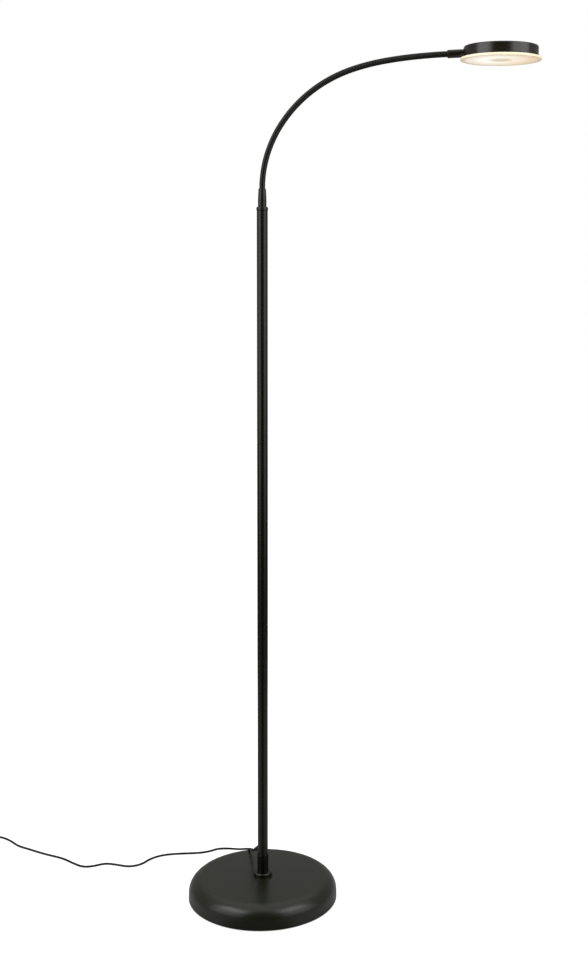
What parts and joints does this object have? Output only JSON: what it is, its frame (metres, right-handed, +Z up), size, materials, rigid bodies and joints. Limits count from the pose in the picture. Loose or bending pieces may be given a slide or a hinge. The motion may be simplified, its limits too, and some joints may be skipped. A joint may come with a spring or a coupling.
{
  "type": "gooseneck reading floor lamp",
  "caption": "Slim floor lamp with a weighted round base, screwed tube pole, bendable gooseneck and a flat round lit head with a wider opal disc.",
  "frame": {"origin": "centre of the base's underside, on the floor", "axes": "+Z up along the pole, +X towards the head, -Y towards the camera of the picture"},
  "size_m": [0.9521, 0.3381, 1.2996],
  "materials": {
    "satin_black_steel": "satin black powder coat on steel",
    "satin_black_aluminium": "satin black paint on spun aluminium",
    "black_gooseneck": "satin black wound steel tube",
    "zinc_steel": "bright zinc plate",
    "cast_iron": "raw casting",
    "foam_pad": "closed-cell foam sheet",
    "black_nylon": "moulded, fluted",
    "black_rubber": "soft moulding",
    "black_lead": "extruded jacket",
    "black_plastic": "fine moulded texture",
    "opal_acrylic": "opal, lit from behind, clear rim",
    "white_aluminium_board": "white solder mask",
    "led_phosphor": "warm white phosphor",
    "satin_black_button": "smooth touch pad",
    "circuit_board": "solder mask",
    "nickel_pins": "nickel plate"
  },
  "bodies": {
    "stand": {"base_cover": "satin_black_steel", "base_pad": "foam_pad", "base_plate": "zinc_steel", "base_weight": "cast_iron", "base_plate_screws": "zinc_steel", "stem_rod": "zinc_steel", "stem_washer": "zinc_steel", "stem_nut": "zinc_steel", "pole_collar": "satin_black_steel", "pole_sleeve": "black_nylon", "pole_tube_lower": "satin_black_steel", "pole_tube_middle": "satin_black_steel", "pole_tube_upper": "satin_black_steel", "pole_coupler_lower": "zinc_steel", "pole_coupler_upper": "zinc_steel", "pole_foot_plug": "zinc_steel", "pole_cap": "satin_black_steel", "neck_ferrule_lower": "satin_black_steel", "neck_ring_nut": "zinc_steel", "pole_lead": "black_lead", "cord_gland": "black_rubber", "power_cord": "black_lead", "cord_coil": "black_lead", "adapter_relief": "black_rubber", "adapter_case": "black_plastic", "adapter_face": "black_plastic", "adapter_pins": "nickel_pins", "neck_link_1": "black_gooseneck", "neck_lead_1": "black_lead"},
    "neck_2": {"neck_link_2": "black_gooseneck", "neck_lead_2": "black_lead"},
    "neck_3": {"neck_link_3": "black_gooseneck", "neck_lead_3": "black_lead"},
    "neck_4": {"neck_link_4": "black_gooseneck", "neck_lead_4": "black_lead"},
    "neck_5": {"neck_link_5": "black_gooseneck", "neck_lead_5": "black_lead"},
    "neck_6": {"neck_link_6": "black_gooseneck", "neck_lead_6": "black_lead"},
    "neck_7": {"neck_link_7": "black_gooseneck", "neck_lead_7": "black_lead"},
    "head": {"neck_link_8": "black_gooseneck", "neck_lead_8": "black_lead", "neck_ferrule_upper": "satin_black_steel", "head_nut": "zinc_steel", "head_lead": "black_lead", "head_shell": "satin_black_aluminium", "diffuser_disc": "opal_acrylic", "led_board": "white_aluminium_board", "led_board_screws": "zinc_steel", "led_chips": "led_phosphor", "touch_button": "satin_black_button", "touch_board": "circuit_board"}
  },
  "joints": [
    {"name": "neck_nod_1", "type": "hinge", "parent": "stand", "child": "neck_2", "pos_m": [0.00638, 0, 1.14259], "axis": [0, 1, 0], "range_deg": [-30, 25]},
    {"name": "neck_sway_2", "type": "hinge", "parent": "neck_2", "child": "neck_3", "pos_m": [0.02477, 0, 1.18373], "axis": [-0.8491, 0, 0.5283], "range_deg": [-30, 30]},
    {"name": "neck_nod_3", "type": "hinge", "parent": "neck_3", "child": "neck_4", "pos_m": [0.05303, 0, 1.21886], "axis": [0, 1, 0], "range_deg": [-30, 25]},
    {"name": "neck_sway_4", "type": "hinge", "parent": "neck_4", "child": "neck_5", "pos_m": [0.08877, 0, 1.24637], "axis": [-0.5137, 0, 0.858], "range_deg": [-30, 30]},
    {"name": "neck_nod_5", "type": "hinge", "parent": "neck_5", "child": "neck_6", "pos_m": [0.12975, 0, 1.26524], "axis": [0, 1, 0], "range_deg": [-30, 25]},
    {"name": "neck_sway_6", "type": "hinge", "parent": "neck_6", "child": "neck_7", "pos_m": [0.17346, 0, 1.27662], "axis": [-0.1852, 0, 0.9827], "range_deg": [-30, 30]},
    {"name": "neck_nod_7", "type": "hinge", "parent": "neck_7", "child": "head", "pos_m": [0.21814, 0, 1.28336], "axis": [0, 1, 0], "range_deg": [-30, 25]}
  ]
}
